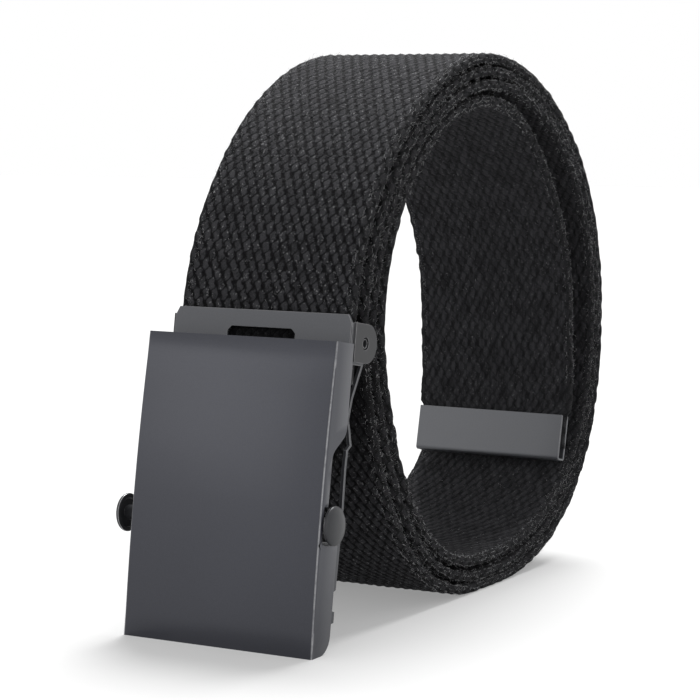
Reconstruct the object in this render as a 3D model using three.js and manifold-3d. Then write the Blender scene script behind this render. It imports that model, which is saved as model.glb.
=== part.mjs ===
// A canvas web belt, rolled up and stood on its coil, with a plain box buckle.
// Millimetres. X runs across the webbing, Y from the buckle to the back of the coil, Z is up.
// The origin is on the floor, below the middle of the belt's box. The lock bar's knobs end that box
// at each side.
import * as THREE from 'three';
import * as BufferGeometryUtils from 'three/addons/utils/BufferGeometryUtils.js';
import Module from 'manifold-3d';

const wasm = await Module();
wasm.setup();

// Webbing
const webWidth = 38;
const webThickness = 2;
const selvedgeRound = 0.25;

// Coil, measured to the outside of its outermost turn
const crownHeight = 57.75; // from the widest level up to the crown
const backReach = 61.9; // from the coil's middle to its back
const frontReach = 60.5; // from the coil's middle to the strap above the buckle
const floorFlat = 0.35; // how far the lowest turn is pressed flat
const crownFrontPower = 1.87;
const crownBackPower = 1.93;
const heelBackPower = 2.4;
const heelFrontPower = 2.2;
const frontTuck = 1.5; // how far the turns draw in below the jaw
const frontTuckTop = 0.6; // how much more of it lies near the jaw

// Buckle cover: a curved plate with two side flanges
const coverHeight = 59.8;
const coverShift = 0.2; // to one side of the frame
const coverPlate = 1;
const coverCrown = 1; // how far the middle of the plate bulges
const flangeDepth = 6.3;
const flangeSheet = 0.7;
const foldChamfer = 0.15;
const heelRadius = 3.6;
const notchBottom = 21.4;
const notchTop = 38.7;
const notchSlope = 3.8;
const notchStrip = 1.6;
const notchStepLevel = 28.6; // below it the notch is cut forward to the back of the plate
const notchStepDepth = 0.15;
const buckleLean = THREE.MathUtils.degToRad(9.1);

// Buckle frame: one bent sheet with a clamp band, two ears and two side walls
const frameSheet = 0.7;
const bandRise = 5.6; // above the cover's top edge
const bandHeight = 9.9;
const bandCorner = 0.8;
const bandCornerDrop = 1.6;
const bandEndInset = 0.15; // from the walls' outside
const bandSlotLength = 15.4;
const bandSlotHeight = 4.35;
const bandSlotDrop = 3.35;
const bandSlotCorner = 0.9;
const earSheet = 0.75;
const earLap = 0.1; // how far the ear's plate is let into the wall
const earHeight = 7.6;
const earRear = 4.6; // from the pin back to the ear's round end
const cheekDepth = 2; // of the wall's strip up behind the band's end
const wallFoot = 5.6;
const wallFront = 1;
const slotRim = 0.7; // of the wall behind the bar's slot
const slotUpperFront = 5; // of the slot's upper part, from the cover's foot back
const slotBelowEar = 0.5;
const footWebHeight = 8;

// Hinge pin and clamp jaw
const pinRadius = 0.95;
const pinRise = 0.4; // above the cover's top edge
const pinAboveWidest = 0.64; // above the coil's widest level
const barrelRadius = 1.6;
const jawLength = 9;
const jawSheet = 0.9;
const jawTooth = 1.1;
const jawToothCount = 13;
const strapPastJaw = 1;

// Lock bar
const barRadius = 1.5;
const barTilt = THREE.MathUtils.degToRad(1.7); // it hangs a little askew in its slots
const barDepth = 3.4;
const knobRadius = 3.8;
const knobHeight = 1.25;
const knobRim = 0.35;
const knobEdge = 0.1;
const barSidePlay = 1.95; // from the cover to each knob, with the bar in the middle
const barSideGap = 0.2; // what is left of it on the side that the bar has slid to
const barLowRoom = 3.05; // from the notch's lower end to the bar's lowest place
const barHighRoom = 2.2; // from the bar's highest place to the notch's upper end

// Belt tip
const tipInset = 0.5; // from the selvedge
const tipLength = 10.5;
const tipSheet = 0.55;
const tipEndRound = 0.9;
const tipChamfer = 0.15;

// Clearances between pieces
const clear = 0.3;
const sheetClear = 0.25;
const flangeClear = 0.45; // from the frame's walls to the cover's flanges
const selvedgeClear = 0.45; // from the webbing to the frame's walls

// Steps of the round surfaces
const roundSides = 24;
const curveSteps = 6;
const plateSteps = 12;
const domeSteps = 5;
const mergeDistance = 1e-4;

// Finish
const webbingBlack = { color: 0x17171a, roughness: 0.95, metalness: 0 };
const paintedMetal = { color: 0x2f3034, roughness: 0.42, metalness: 0.35 };

// Angles travelled along the coil. The outermost turn starts at the front, on the widest level.
const quarterTurn = 90;
const fullTurn = 360;
const outerTurn = 900;
const tipAngle = -29.4;
const angleStep = 5;

// Room between each turn of webbing and the next turn outward, as a share of its thickness,
// by the angle travelled from the back of the innermost turn.
const turnRoom = [
  { angle: -30, room: 2.9 },
  { angle: -9, room: 4.9 },
  { angle: 8, room: 5.05 },
  { angle: 25, room: 4.7 },
  { angle: 48, room: 3.7 },
  { angle: 60, room: 2.6 },
  { angle: 74, room: 1.35 },
  { angle: 90, room: 0.7 },
  { angle: 135, room: 0.4 },
  { angle: 180, room: 0.7 },
  { angle: 225, room: 0.55 },
  { angle: 270, room: 0.6 },
  { angle: 315, room: 0.4 },
  { angle: 360, room: 0.15 },
  { angle: 405, room: 0.15 },
  { angle: 450, room: 0.4 },
  { angle: 495, room: 0.4 },
  { angle: 540, room: 0.75 },
  { angle: 585, room: 0.95 },
  { angle: 630, room: 0.3 },
  { angle: 675, room: 0.4 },
  { angle: 720, room: 0.15 },
  { angle: 765, room: 0.15 },
  { angle: 810, room: 0.4 },
  { angle: 855, room: 0.75 },
];

// The rear edge of the frame's side wall: how far behind the flange it stands, as a share of
// the flange's depth, at a share of the cover's height.
const wallRearEdge = [
  { height: 0.955, behind: 1.03 },
  { height: 0.826, behind: 0.48 },
  { height: 0.756, behind: 0.35 },
  { height: 0.724, behind: 0.49 },
  { height: 0.676, behind: 0.65 },
  { height: 0.66, behind: 0.46 },
  { height: 0.6, behind: 0.43 },
  { height: 0.478, behind: 0.47 },
  { height: 0.363, behind: 0.44 },
  { height: 0.215, behind: 0.4 },
  { height: 0.205, behind: 0.2 },
  { height: 0.15, behind: 0.2 },
  { height: 0.145, behind: 0.42 },
  { height: 0.11, behind: 0.42 },
  { height: 0.105, behind: 0.2 },
];

// Values worked out from the sizes above
const tipWidth = webWidth - 2 * tipInset;
const wallInside = webWidth / 2 + selvedgeClear;
const wallOutside = wallInside + frameSheet;
const earInside = wallOutside - earLap;
const earWidth = 2 * (earInside + earSheet);
const coverWidth = 2 * (wallOutside + flangeClear + flangeSheet);
const bandTop = coverHeight + bandRise;
const pinLevel = coverHeight + pinRise;
const barLevel = notchBottom + barLowRoom;
const barTravel = notchTop - barHighRoom - barLevel;
const barShift = barSidePlay - barSideGap;
const bandFront = flangeDepth + clear;
const bandRear = bandFront + frameSheet;
const clampDepth = bandRear + sheetClear + webThickness / 2;
const pinDepth = clampDepth + webThickness / 2 + sheetClear + barrelRadius;
const sin = Math.sin(buckleLean);
const cos = Math.cos(buckleLean);
const heelHeight = pinLevel * cos - pinDepth * sin - pinAboveWidest;

// The webbing's middle runs on a superellipse whose quadrants differ. It meets the clamp where
// it is as steep as the buckle leans.
const crown = crownHeight - webThickness / 2;
const frontMiddle = frontReach - webThickness / 2;
const clampTangent = Math.atan(
  (Math.tan(buckleLean) * (crown / frontMiddle) ** crownFrontPower) ** (1 / (crownFrontPower - 1)),
);
const clampAngle = THREE.MathUtils.degToRad(outerTurn + fullTurn) - clampTangent;
const clampRadius = quadrantRadius(clampAngle, frontMiddle, crown, crownFrontPower);
const clampMeet = {
  y: clampRadius * Math.cos(clampAngle),
  z: heelHeight + clampRadius * Math.sin(clampAngle),
};
const clampMeetLevel = (clampMeet.z + clampDepth * sin) / cos;
const buckleY = clampMeet.y - clampMeetLevel * sin - clampDepth * cos;

// The next turn passes behind the jaw's barrel.
const barrelRearY = buckleY + pinLevel * sin + (pinDepth + barrelRadius) * cos;
const behindClamp = -barrelRearY - clear - webThickness / 2;
const clampRoom = (frontMiddle - behindClamp - webThickness) / webThickness;
const rooms = [...turnRoom, { angle: outerTurn, room: clampRoom }];

// The belt's front and back edges give the middle of its box.
const middleY = (buckleY + backReach) / 2;

function quadrantRadius(angle, reach, height, power) {
  const across = Math.abs(Math.cos(angle)) / reach;
  const up = Math.abs(Math.sin(angle)) / height;
  return (across ** power + up ** power) ** (-1 / power);
}

// Smooth curve through the rows of a table, by its angle column.
function roomAt(degrees) {
  const slope = (i) => {
    const before = rooms[Math.max(i - 1, 0)];
    const after = rooms[Math.min(i + 1, rooms.length - 1)];
    return (after.room - before.room) / (after.angle - before.angle);
  };
  const last = rooms.findIndex((row, i) => i > 0 && degrees <= row.angle);
  const end = last < 0 ? rooms.length - 1 : last;
  const from = rooms[end - 1];
  const to = rooms[end];
  const span = to.angle - from.angle;
  const t = (degrees - from.angle) / span;
  const t2 = t * t;
  const t3 = t2 * t;
  return (
    (2 * t3 - 3 * t2 + 1) * from.room
    + (t3 - 2 * t2 + t) * span * slope(end - 1)
    + (3 * t2 - 2 * t3) * to.room
    + (t3 - t2) * span * slope(end)
  );
}

// Distance of the webbing's middle from the coil's middle, by the angle travelled.
function coilRadius(degrees) {
  const angle = THREE.MathUtils.degToRad(degrees);
  const half = webThickness / 2;
  if (degrees < outerTurn) {
    return coilRadius(degrees + fullTurn) - webThickness * (1 + roomAt(degrees));
  }
  const heel = heelHeight - half + floorFlat;
  const quarters = Math.floor((degrees - outerTurn) / quarterTurn);
  if (quarters === 0) {
    const tuck = frontTuck * (Math.sin(2 * angle) + frontTuckTop * Math.sin(4 * angle));
    return quadrantRadius(angle, behindClamp, heel, heelFrontPower) - tuck;
  }
  if (quarters === 1) return quadrantRadius(angle, backReach - half, heel, heelBackPower);
  if (quarters === 2) return quadrantRadius(angle, backReach - half, crown, crownBackPower);
  return quadrantRadius(angle, frontMiddle, crown, crownFrontPower);
}

function coilPoint(degrees) {
  const angle = THREE.MathUtils.degToRad(degrees);
  const radius = coilRadius(degrees);
  const z = heelHeight + radius * Math.sin(angle);
  return new THREE.Vector2(radius * Math.cos(angle), Math.max(z, webThickness / 2));
}

// The webbing's middle line, from its tip to its end in the clamp.
function webLine() {
  const points = [];
  const clampDegrees = THREE.MathUtils.radToDeg(clampAngle);
  const steps = Math.round((clampDegrees - tipAngle) / angleStep);
  for (let i = 0; i <= steps; i += 1) {
    points.push(coilPoint(tipAngle + ((clampDegrees - tipAngle) * i) / steps));
  }
  const toTip = points[0].clone().sub(points[1]).normalize();
  points.unshift(points[0].clone().addScaledVector(toTip, tipLength - tipSheet - sheetClear));
  const clampEndLevel = pinLevel - jawLength - strapPastJaw;
  const clampEnd = new THREE.Vector2(
    buckleY + clampEndLevel * sin + clampDepth * cos,
    clampEndLevel * cos - clampDepth * sin,
  );
  points.push(clampEnd);
  return points;
}

// Helpers that turn shapes into closed meshes
function toManifold(geometry) {
  const bare = geometry.index ? geometry.toNonIndexed() : geometry.clone();
  bare.deleteAttribute('normal');
  bare.deleteAttribute('uv');
  const merged = BufferGeometryUtils.mergeVertices(bare, mergeDistance);
  return new wasm.Manifold(new wasm.Mesh({
    numProp: 3,
    vertProperties: new Float32Array(merged.attributes.position.array),
    triVerts: new Uint32Array(merged.index.array),
  }));
}

function toGeometry(solid) {
  const mesh = solid.getMesh();
  const geometry = new THREE.BufferGeometry();
  geometry.setAttribute('position', new THREE.BufferAttribute(mesh.vertProperties, 3));
  geometry.setIndex(new THREE.BufferAttribute(mesh.triVerts, 1));
  geometry.computeVertexNormals();
  return geometry;
}

// Extrudes a side outline, drawn in Y and Z, across X between two places.
function across(shape, fromX, toX, chamfer = 0) {
  const geometry = new THREE.ExtrudeGeometry(shape, {
    depth: toX - fromX - 2 * chamfer,
    steps: 1,
    curveSegments: curveSteps,
    bevelEnabled: chamfer > 0,
    bevelThickness: chamfer,
    bevelSize: chamfer,
    bevelOffset: -chamfer,
    bevelSegments: 1,
  });
  geometry.translate(0, 0, fromX + chamfer);
  const turn = new THREE.Matrix4().makeBasis(
    new THREE.Vector3(0, 1, 0),
    new THREE.Vector3(0, 0, 1),
    new THREE.Vector3(1, 0, 0),
  );
  return geometry.applyMatrix4(turn);
}

// Extrudes a front outline, drawn in X and Z, through a depth along Y.
function through(shape, fromY, toY) {
  const geometry = new THREE.ExtrudeGeometry(shape, {
    depth: toY - fromY,
    steps: 1,
    curveSegments: curveSteps,
    bevelEnabled: false,
  });
  geometry.rotateX(Math.PI / 2);
  return geometry.translate(0, toY, 0);
}

function block(sizeX, sizeY, sizeZ, x, y, z) {
  return new THREE.BoxGeometry(sizeX, sizeY, sizeZ).translate(x, y, z);
}

function rod(radius, length, y, z) {
  const geometry = new THREE.CylinderGeometry(radius, radius, length, roundSides);
  return geometry.rotateZ(Math.PI / 2).translate(0, y, z);
}

function outline(points) {
  const shape = new THREE.Shape();
  points.forEach(([y, z], i) => (i === 0 ? shape.moveTo(y, z) : shape.lineTo(y, z)));
  shape.closePath();
  return shape;
}

function named(name, geometry, finish) {
  const mesh = new THREE.Mesh(geometry, new THREE.MeshStandardMaterial(finish));
  mesh.name = name;
  return mesh;
}

// Front surface of the cover's plate, before its thickness, by the level along it.
function plateFront(level) {
  const share = level / coverHeight;
  return -4 * coverCrown * share * (1 - share);
}

// The webbing: its middle line thickened to both sides and extruded across.
function makeWebbing(line) {
  const half = webThickness / 2;
  const outer = [];
  const inner = [];
  line.forEach((point, i) => {
    const before = line[Math.max(i - 1, 0)];
    const after = line[Math.min(i + 1, line.length - 1)];
    const along = after.clone().sub(before).normalize();
    const side = new THREE.Vector2(along.y, -along.x).multiplyScalar(half);
    outer.push(point.clone().add(side));
    inner.push(point.clone().sub(side));
  });
  const shape = new THREE.Shape([...inner, ...outer.reverse()]);
  const strap = toManifold(across(shape, -webWidth / 2, webWidth / 2, selvedgeRound));

  // Inside the metal tip the webbing is pressed narrower than the tip.
  const [end, next] = line;
  const lean = Math.atan2(next.x - end.x, next.y - end.y);
  const trimmed = [-1, 1].reduce((solid, side) => {
    const middle = side * ((tipWidth + webWidth) / 2 - clear);
    const trim = block(webWidth, webThickness + sheetClear, tipLength, middle, 0, tipLength / 2);
    trim.rotateX(-lean).translate(0, end.x, end.y);
    return solid.subtract(toManifold(trim));
  }, strap);
  return named('webbing', toGeometry(trimmed), webbingBlack);
}

// The metal tip: a folded cap, open at its top and at both sides.
function makeTip(line) {
  const inside = webThickness / 2 + sheetClear;
  const outside = inside + tipSheet;
  const top = tipLength;
  const shape = new THREE.Shape();
  shape.moveTo(-outside, top);
  shape.lineTo(-outside, tipEndRound);
  shape.quadraticCurveTo(-outside, 0, -outside + tipEndRound, 0);
  shape.lineTo(outside - tipEndRound, 0);
  shape.quadraticCurveTo(outside, 0, outside, tipEndRound);
  shape.lineTo(outside, top);
  shape.lineTo(inside, top);
  shape.lineTo(inside, tipSheet);
  shape.lineTo(-inside, tipSheet);
  shape.lineTo(-inside, top);
  shape.closePath();
  const [end, next] = line;
  const lean = Math.atan2(next.x - end.x, next.y - end.y);
  const cap = across(shape, -tipWidth / 2, tipWidth / 2, tipChamfer);
  const mesh = named('belt_tip', cap, paintedMetal);
  mesh.rotation.x = -lean;
  const sole = tipSheet + sheetClear;
  mesh.position.set(0, end.x - sole * Math.sin(lean), end.y - sole * Math.cos(lean));
  return mesh;
}

// The cover: a solid of the side outline, hollowed from behind.
function makeCover() {
  const level = (i) => (coverHeight * i) / plateSteps;
  const front = Array.from({ length: plateSteps + 1 }, (_, i) => [plateFront(level(i)), level(i)]);
  const flange = new THREE.Shape();
  front.forEach(([y, z], i) => (i === 0 ? flange.moveTo(y, z) : flange.lineTo(y, z)));
  flange.lineTo(flangeDepth, coverHeight);
  flange.lineTo(flangeDepth, notchTop + notchSlope);
  flange.lineTo(notchStrip, notchTop);
  flange.lineTo(notchStrip, notchStepLevel);
  flange.lineTo(notchStepDepth, notchStepLevel);
  flange.lineTo(notchStepDepth, notchBottom);
  flange.lineTo(flangeDepth, notchBottom);
  const heelStart = (flangeDepth - heelRadius) * Math.tan(buckleLean);
  const heelCorner = flangeDepth * Math.tan(buckleLean);
  flange.lineTo(flangeDepth, heelCorner + heelRadius);
  flange.quadraticCurveTo(flangeDepth, heelCorner, flangeDepth - heelRadius, heelStart);
  flange.closePath();
  const body = toManifold(across(flange, -coverWidth / 2, coverWidth / 2, foldChamfer));

  const beyond = flangeDepth;
  const reach = flangeDepth + beyond;
  const hollow = outline([
    [plateFront(0) + coverPlate, -beyond],
    ...front.map(([y, z]) => [y + coverPlate, z]),
    [plateFront(0) + coverPlate, coverHeight + beyond],
    [reach, coverHeight + beyond],
    [reach, -beyond],
  ]);
  const inside = coverWidth / 2 - flangeSheet;
  const cover = body.subtract(toManifold(across(hollow, -inside, inside)));
  const mesh = named('cover', toGeometry(cover), paintedMetal);
  mesh.position.x = -coverShift;
  return mesh;
}

// The corners of a side wall's rear edge, from the top down
const wallRear = wallRearEdge.map((row) => [
  flangeDepth * (1 + row.behind),
  coverHeight * row.height,
]);

// How far back a side wall reaches at a level
function wallRearAt(level) {
  const below = wallRear.findIndex(([, z]) => z <= level);
  const [highY, highZ] = wallRear[below - 1];
  const [lowY, lowZ] = wallRear[below];
  return lowY + ((highY - lowY) * (level - lowZ)) / (highZ - lowZ);
}

// One side wall of the frame, in outline, with its strip up behind the band's end
function wallShape() {
  const [, top] = wallRear[0];
  const cheekFront = (bandFront + bandRear) / 2;
  const cheekTop = bandTop - bandCornerDrop;
  return outline([
    ...wallRear,
    [flangeDepth, wallFoot],
    [wallFront, wallFoot],
    [wallFront, top],
    [cheekFront, top],
    [cheekFront, cheekTop],
    [cheekFront + cheekDepth, cheekTop],
    [cheekFront + cheekDepth, top],
  ]);
}

// The slot that the bar moves in, behind the cover's notch. It runs on up to the ear, and leaves
// a rim along the wall's rear edge.
function slotShape() {
  const askew = (coverWidth / 2 + barShift) * Math.tan(barTilt);
  const low = barLevel - barRadius - clear - askew;
  const high = pinLevel - earHeight / 2 - slotBelowEar;
  const upperShare = (slotUpperFront - notchStrip) / (flangeDepth - notchStrip);
  const rear = [
    [wallRearAt(low), low],
    ...wallRear.filter(([, z]) => z > low && z < high).reverse(),
    [wallRearAt(high), high],
  ];
  return outline([
    [notchStrip, low],
    ...rear.map(([y, z]) => [y - slotRim, z]),
    [slotUpperFront, high],
    [slotUpperFront, notchTop + notchSlope * upperShare],
    [notchStrip, notchTop],
  ]);
}

function bandShape() {
  const half = wallOutside - bandEndInset;
  const shape = outline([
    [-half, bandTop - bandHeight],
    [half, bandTop - bandHeight],
    [half, bandTop - bandCornerDrop],
    [half - bandCorner, bandTop],
    [-half + bandCorner, bandTop],
    [-half, bandTop - bandCornerDrop],
  ]);
  const slotTop = bandTop - bandSlotDrop;
  const slot = new THREE.Path();
  slot.moveTo(-bandSlotLength / 2 + bandSlotCorner, slotTop);
  slot.lineTo(-bandSlotLength / 2, slotTop - bandSlotCorner);
  slot.lineTo(-bandSlotLength / 2, slotTop - bandSlotHeight + bandSlotCorner);
  slot.lineTo(-bandSlotLength / 2 + bandSlotCorner, slotTop - bandSlotHeight);
  slot.lineTo(bandSlotLength / 2 - bandSlotCorner, slotTop - bandSlotHeight);
  slot.lineTo(bandSlotLength / 2, slotTop - bandSlotHeight + bandSlotCorner);
  slot.lineTo(bandSlotLength / 2, slotTop - bandSlotCorner);
  slot.lineTo(bandSlotLength / 2 - bandSlotCorner, slotTop);
  slot.closePath();
  shape.holes.push(slot);
  return shape;
}

function earShape() {
  const radius = earHeight / 2;
  const shape = new THREE.Shape();
  shape.moveTo(bandRear, pinLevel + radius);
  shape.lineTo(bandRear, pinLevel - radius);
  shape.absarc(pinDepth + earRear - radius, pinLevel, radius, -Math.PI / 2, Math.PI / 2, false);
  shape.closePath();
  return shape;
}

// The frame: band, ears, side walls and a foot web, joined into one sheet.
function makeFrame() {
  let frame = toManifold(through(bandShape(), bandFront, bandRear));
  for (const side of [-1, 1]) {
    const inner = side * wallInside;
    const wall = side * wallOutside;
    const ear = (side * earWidth) / 2;
    const span = (a, b) => [Math.min(a, b), Math.max(a, b)];
    frame = frame
      .add(toManifold(across(earShape(), ...span(side * earInside, ear))))
      .add(toManifold(across(wallShape(), ...span(inner, wall))));
  }
  const foot = block(
    wallOutside * 2, frameSheet, footWebHeight,
    0, wallFront + frameSheet / 2, wallFoot + footWebHeight / 2,
  );
  frame = frame.add(toManifold(foot));
  frame = frame.subtract(toManifold(across(slotShape(), -coverWidth, coverWidth)));
  const bore = rod(pinRadius + clear, coverWidth * 2, pinDepth, pinLevel);
  return named('frame', toGeometry(frame.subtract(toManifold(bore))), paintedMetal);
}

// The clamp jaw: a plate with teeth on a barrel that turns on the pin.
function makeJaw() {
  const halfWidth = wallInside - clear;
  const front = pinDepth - barrelRadius;
  const low = pinLevel - jawLength;
  const pitch = (2 * halfWidth) / jawToothCount;
  const points = [[halfWidth, pinLevel], [-halfWidth, pinLevel], [-halfWidth, low + jawTooth]];
  for (let i = 0; i < jawToothCount; i += 1) {
    points.push([-halfWidth + (i + 0.5) * pitch, low]);
    points.push([-halfWidth + (i + 1) * pitch, low + jawTooth]);
  }
  const plate = toManifold(through(outline(points), front, front + jawSheet));
  const barrel = toManifold(rod(barrelRadius, 2 * halfWidth, pinDepth, pinLevel));
  const bore = toManifold(rod(pinRadius + clear, 4 * halfWidth, pinDepth, pinLevel));
  return named('clamp_jaw', toGeometry(plate.add(barrel).subtract(bore)), paintedMetal);
}

function makePin() {
  return named('hinge_pin', rod(pinRadius, earWidth - clear, pinDepth, pinLevel), paintedMetal);
}

// The lock bar: a plain rod with a low domed knob at each end.
function makeLockBar() {
  const seat = coverWidth / 2 + barSidePlay;
  const profile = [new THREE.Vector2(0, -seat - knobHeight)];
  const arc = (i) => (Math.PI / 2) * (i / domeSteps);
  const domeRise = knobHeight - knobRim;
  for (let i = 1; i <= domeSteps; i += 1) {
    const rise = domeRise * Math.cos(arc(i));
    profile.push(new THREE.Vector2(knobRadius * Math.sin(arc(i)), -seat - knobRim - rise));
  }
  profile.push(new THREE.Vector2(knobRadius, -seat - knobEdge));
  profile.push(new THREE.Vector2(knobRadius - knobEdge, -seat));
  profile.push(new THREE.Vector2(barRadius, -seat));
  const mirrored = profile.map((point) => new THREE.Vector2(point.x, -point.y)).reverse();
  const lathe = new THREE.LatheGeometry([...profile, ...mirrored], roundSides);
  lathe.rotateZ(Math.PI / 2);
  lathe.rotateY(-barTilt);
  lathe.translate(-barShift, barDepth, barLevel);
  return named('lock_bar', toGeometry(toManifold(lathe)), paintedMetal);
}

const line = webLine();
const buckle = new THREE.Group();
buckle.position.y = buckleY;
buckle.rotation.x = -buckleLean;
buckle.add(makeCover(), makeFrame(), makePin(), makeJaw(), makeLockBar());

const belt = new THREE.Group();
belt.position.set(barShift, -middleY, 0);
belt.add(makeWebbing(line), makeTip(line), buckle);

export default belt;
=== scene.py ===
"""The looks of a canvas web belt, rolled up and stood on its coil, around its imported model.

Lengths are in metres. X runs across the webbing, Y from the buckle to the back of the coil and Z is up.
"""
import math

import bmesh
import bpy
import numpy as np
from mathutils import Matrix, Vector


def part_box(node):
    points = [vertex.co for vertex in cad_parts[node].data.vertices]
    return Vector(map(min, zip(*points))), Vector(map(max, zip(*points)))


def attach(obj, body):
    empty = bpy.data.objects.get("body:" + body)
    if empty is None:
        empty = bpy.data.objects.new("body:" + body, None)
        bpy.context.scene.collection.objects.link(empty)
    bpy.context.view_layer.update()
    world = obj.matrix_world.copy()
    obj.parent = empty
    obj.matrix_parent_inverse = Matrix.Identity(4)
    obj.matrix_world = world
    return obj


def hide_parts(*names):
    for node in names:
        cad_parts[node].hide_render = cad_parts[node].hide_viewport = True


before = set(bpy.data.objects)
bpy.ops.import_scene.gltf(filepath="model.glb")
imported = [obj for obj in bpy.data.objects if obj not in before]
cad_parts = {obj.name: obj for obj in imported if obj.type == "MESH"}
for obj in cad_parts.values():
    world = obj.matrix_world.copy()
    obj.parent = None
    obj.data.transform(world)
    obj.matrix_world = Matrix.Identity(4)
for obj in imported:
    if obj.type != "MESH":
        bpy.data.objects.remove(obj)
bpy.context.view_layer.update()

MM = 0.001
TINY = 0.01 * MM
DOUBLES = 0.002 * MM

# Camera, from the width of the webbing at the buckle, on the coil and at the tip
CAMERA_PLACE = Vector((0.23575, -0.4353, 0.0997))
CAMERA_TURN = math.radians(29.29)
CAMERA_DIP = math.radians(5.60)
CAMERA_ROLL = math.radians(0.29)
CAMERA_LENS = 118.63
CAMERA_SENSOR = 36

# Buckle, in its own place: X across, Y back from the cover's foot, Z up along the cover
LEAN = math.radians(9.1)
COVER_HEIGHT = 59.8 * MM
COVER_CROWN = 1.0 * MM
COVER_SHEET = 0.7 * MM
COVER_FOLD = 0.45 * MM
COVER_LEVELS = 12
FLANGE_DEPTH = 6.3 * MM
FLANGE_HEEL = 3.2 * MM
NOTCH_BOTTOM = 21.4 * MM
NOTCH_STEP = 28.6 * MM
NOTCH_STEP_DEPTH = 0.15 * MM
NOTCH_TOP = 38.7 * MM
NOTCH_SLOPE = 3.8 * MM
NOTCH_STRIP = 1.6 * MM
NOTCH_ROUND = 1.1 * MM
EDGE_ROUND = 0.1 * MM
EDGE_STRIP = 0.2 * MM
FINE_STRIP = 0.07 * MM
FLAT_FACE = 3 * MM * MM
EDGE_TURN = 0.976
SHARP = math.radians(50)
FAIRLY_SHARP = math.radians(30)
LEVEL = math.radians(0.5)
KNOB_EDGE_ROUND = 0.08 * MM
PIN_EDGE_ROUND = 0.04 * MM
FRAME_EDGE_ROUND = 0.08 * MM
SMALL_EDGE_ROUND = 0.06 * MM
SMOOTH_METAL = math.radians(30)
SMOOTH_ROUND = math.radians(35)
EAR_INSIDE = 20.25 * MM
PIN_WALL = 0.15 * MM
PIN_BORE_DEPTH = 2.5 * MM
BAR_RADIUS = 1.5 * MM
BAR_DEPTH = 3.4 * MM
BAR_LEVEL = 24.45 * MM
BAR_SHIFT = 1.75 * MM
BAR_TILT = math.radians(1.7)
KNOB_RADIUS = 3.8 * MM
KNOB_PLACE = 23.6 * MM
KNOB_RIM = 0.35 * MM
KNOB_DOME = 0.9 * MM
KNOB_DOME_STEPS = 6
KNOB_LIP = 0.9 * MM
KNOB_DISH = 0.2 * MM
ROUND_SIDES = 64

# Webbing: its weave has a yarn's crest at each crossing, and pits between the crests
WEB_THICKNESS = 2.0 * MM
WARP_COLUMNS = 34
SELVEDGE = 0.55 * MM
WEFT_PITCH = 1.963 * MM
WEAVE_DEPTH = 0.36 * MM
INNER_WEAVE_DEPTH = 0.25 * MM
CREST_RISE = 0.1 * MM
PIT_SHARE = 0.55
CREST_SPREAD = 0.15
YARN_SPREAD = 0.07 * MM
YARN_SLANT = 0.15 * MM
WEAVE_SEED = 7
SWAY = 0.12 * MM
SWAY_PITCH = 45 * MM
SWAY_SEED = 3
WIDENING = 0.0022
WIDENING_PITCH = 28 * MM
WIDENING_SEED = 5
SELVEDGE_REACH = 1.1 * MM
SELVEDGE_SWELL = 0.07 * MM
SELVEDGE_SPREAD = 0.08 * MM
SELVEDGE_SQUARENESS = 0.6
SELVEDGE_FULLNESS = 0.98
REACH_INTO_TIP = 8.4 * MM
NARROWING_IN_TIP = 0.9 * MM
NARROWING_EASE = 1.2 * MM
FLOOR_GAP = 0.02 * MM
STRETCHES = 4
STEPS_PER_COLUMN = 2
FACE_COUNT = WARP_COLUMNS * STEPS_PER_COLUMN + 1
STEPS_PER_ROW = 4
SELVEDGE_STEPS = 4
LINE_STEP = 2.5 * MM

# Lint
LINT_PIECES = 2
LINT_SEED = 11
LINT_COUNT = 18000
LINT_AT_SELVEDGE = 0.78
LINT_RADIUS = 0.024 * MM
LINT_FIRST_RING = 30
LINT_LAST_RINGS = 4
LINT_LENGTH_SHAPE = 3.0
LINT_LENGTH_SCALE = 0.12
LINT_BEND = 0.35
LINT_FLOOR_GAP = 0.1 * MM
LINT_FOOT_DEPTH = 0.05 * MM

# Cotton's look: its colours, with the pit colour as painted shade in the weave's hollows, how far each yarn
# strays from the weave, and its grains in cells per metre
COTTON_PIT_SHADE = (0.003, 0.003, 0.0034)
COTTON_CREST = (0.034, 0.034, 0.037)
COTTON_SPECK = (0.13, 0.13, 0.134)
COTTON_SHEEN = (0.6, 0.6, 0.63)
COTTON_BUMP = 0.34 * MM
DRIFT_GRAIN = 420.0
NUDGE_GRAIN = 900.0
DRIFT_ACROSS = 0.45 * MM
DRIFT_ALONG = 0.6 * MM
NUDGE_ACROSS = 0.85 * MM
NUDGE_ALONG = 0.95 * MM
STRAND_GRAIN = 2300.0
STRAND_ANGLE = 0.7
STRAND_THINNESS = 3.0
PATCH_GRAIN = 560.0
WEAR_GRAIN = 130.0
SPECK_GRAIN = 3500.0
STREAK_GRAIN = 200.0
STREAK_THINNESS = 5.0
INSIDE_CONTRAST = 0.32
LINT_GRAIN = 900.0
LINT_DARK = (0.16, 0.16, 0.165)
LINT_LIGHT = (0.6, 0.6, 0.61)

# Painted shade on the cotton where the buckle keeps light from it: how far behind the cover, and up to which
# height
SHADE = 0.85
SHADE_DEPTH = (14 * MM, 28 * MM)
SHADE_HEIGHT = (50 * MM, 58 * MM)
SHADE_BEHIND_BAND = (62.5 * MM, 64 * MM)

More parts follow.
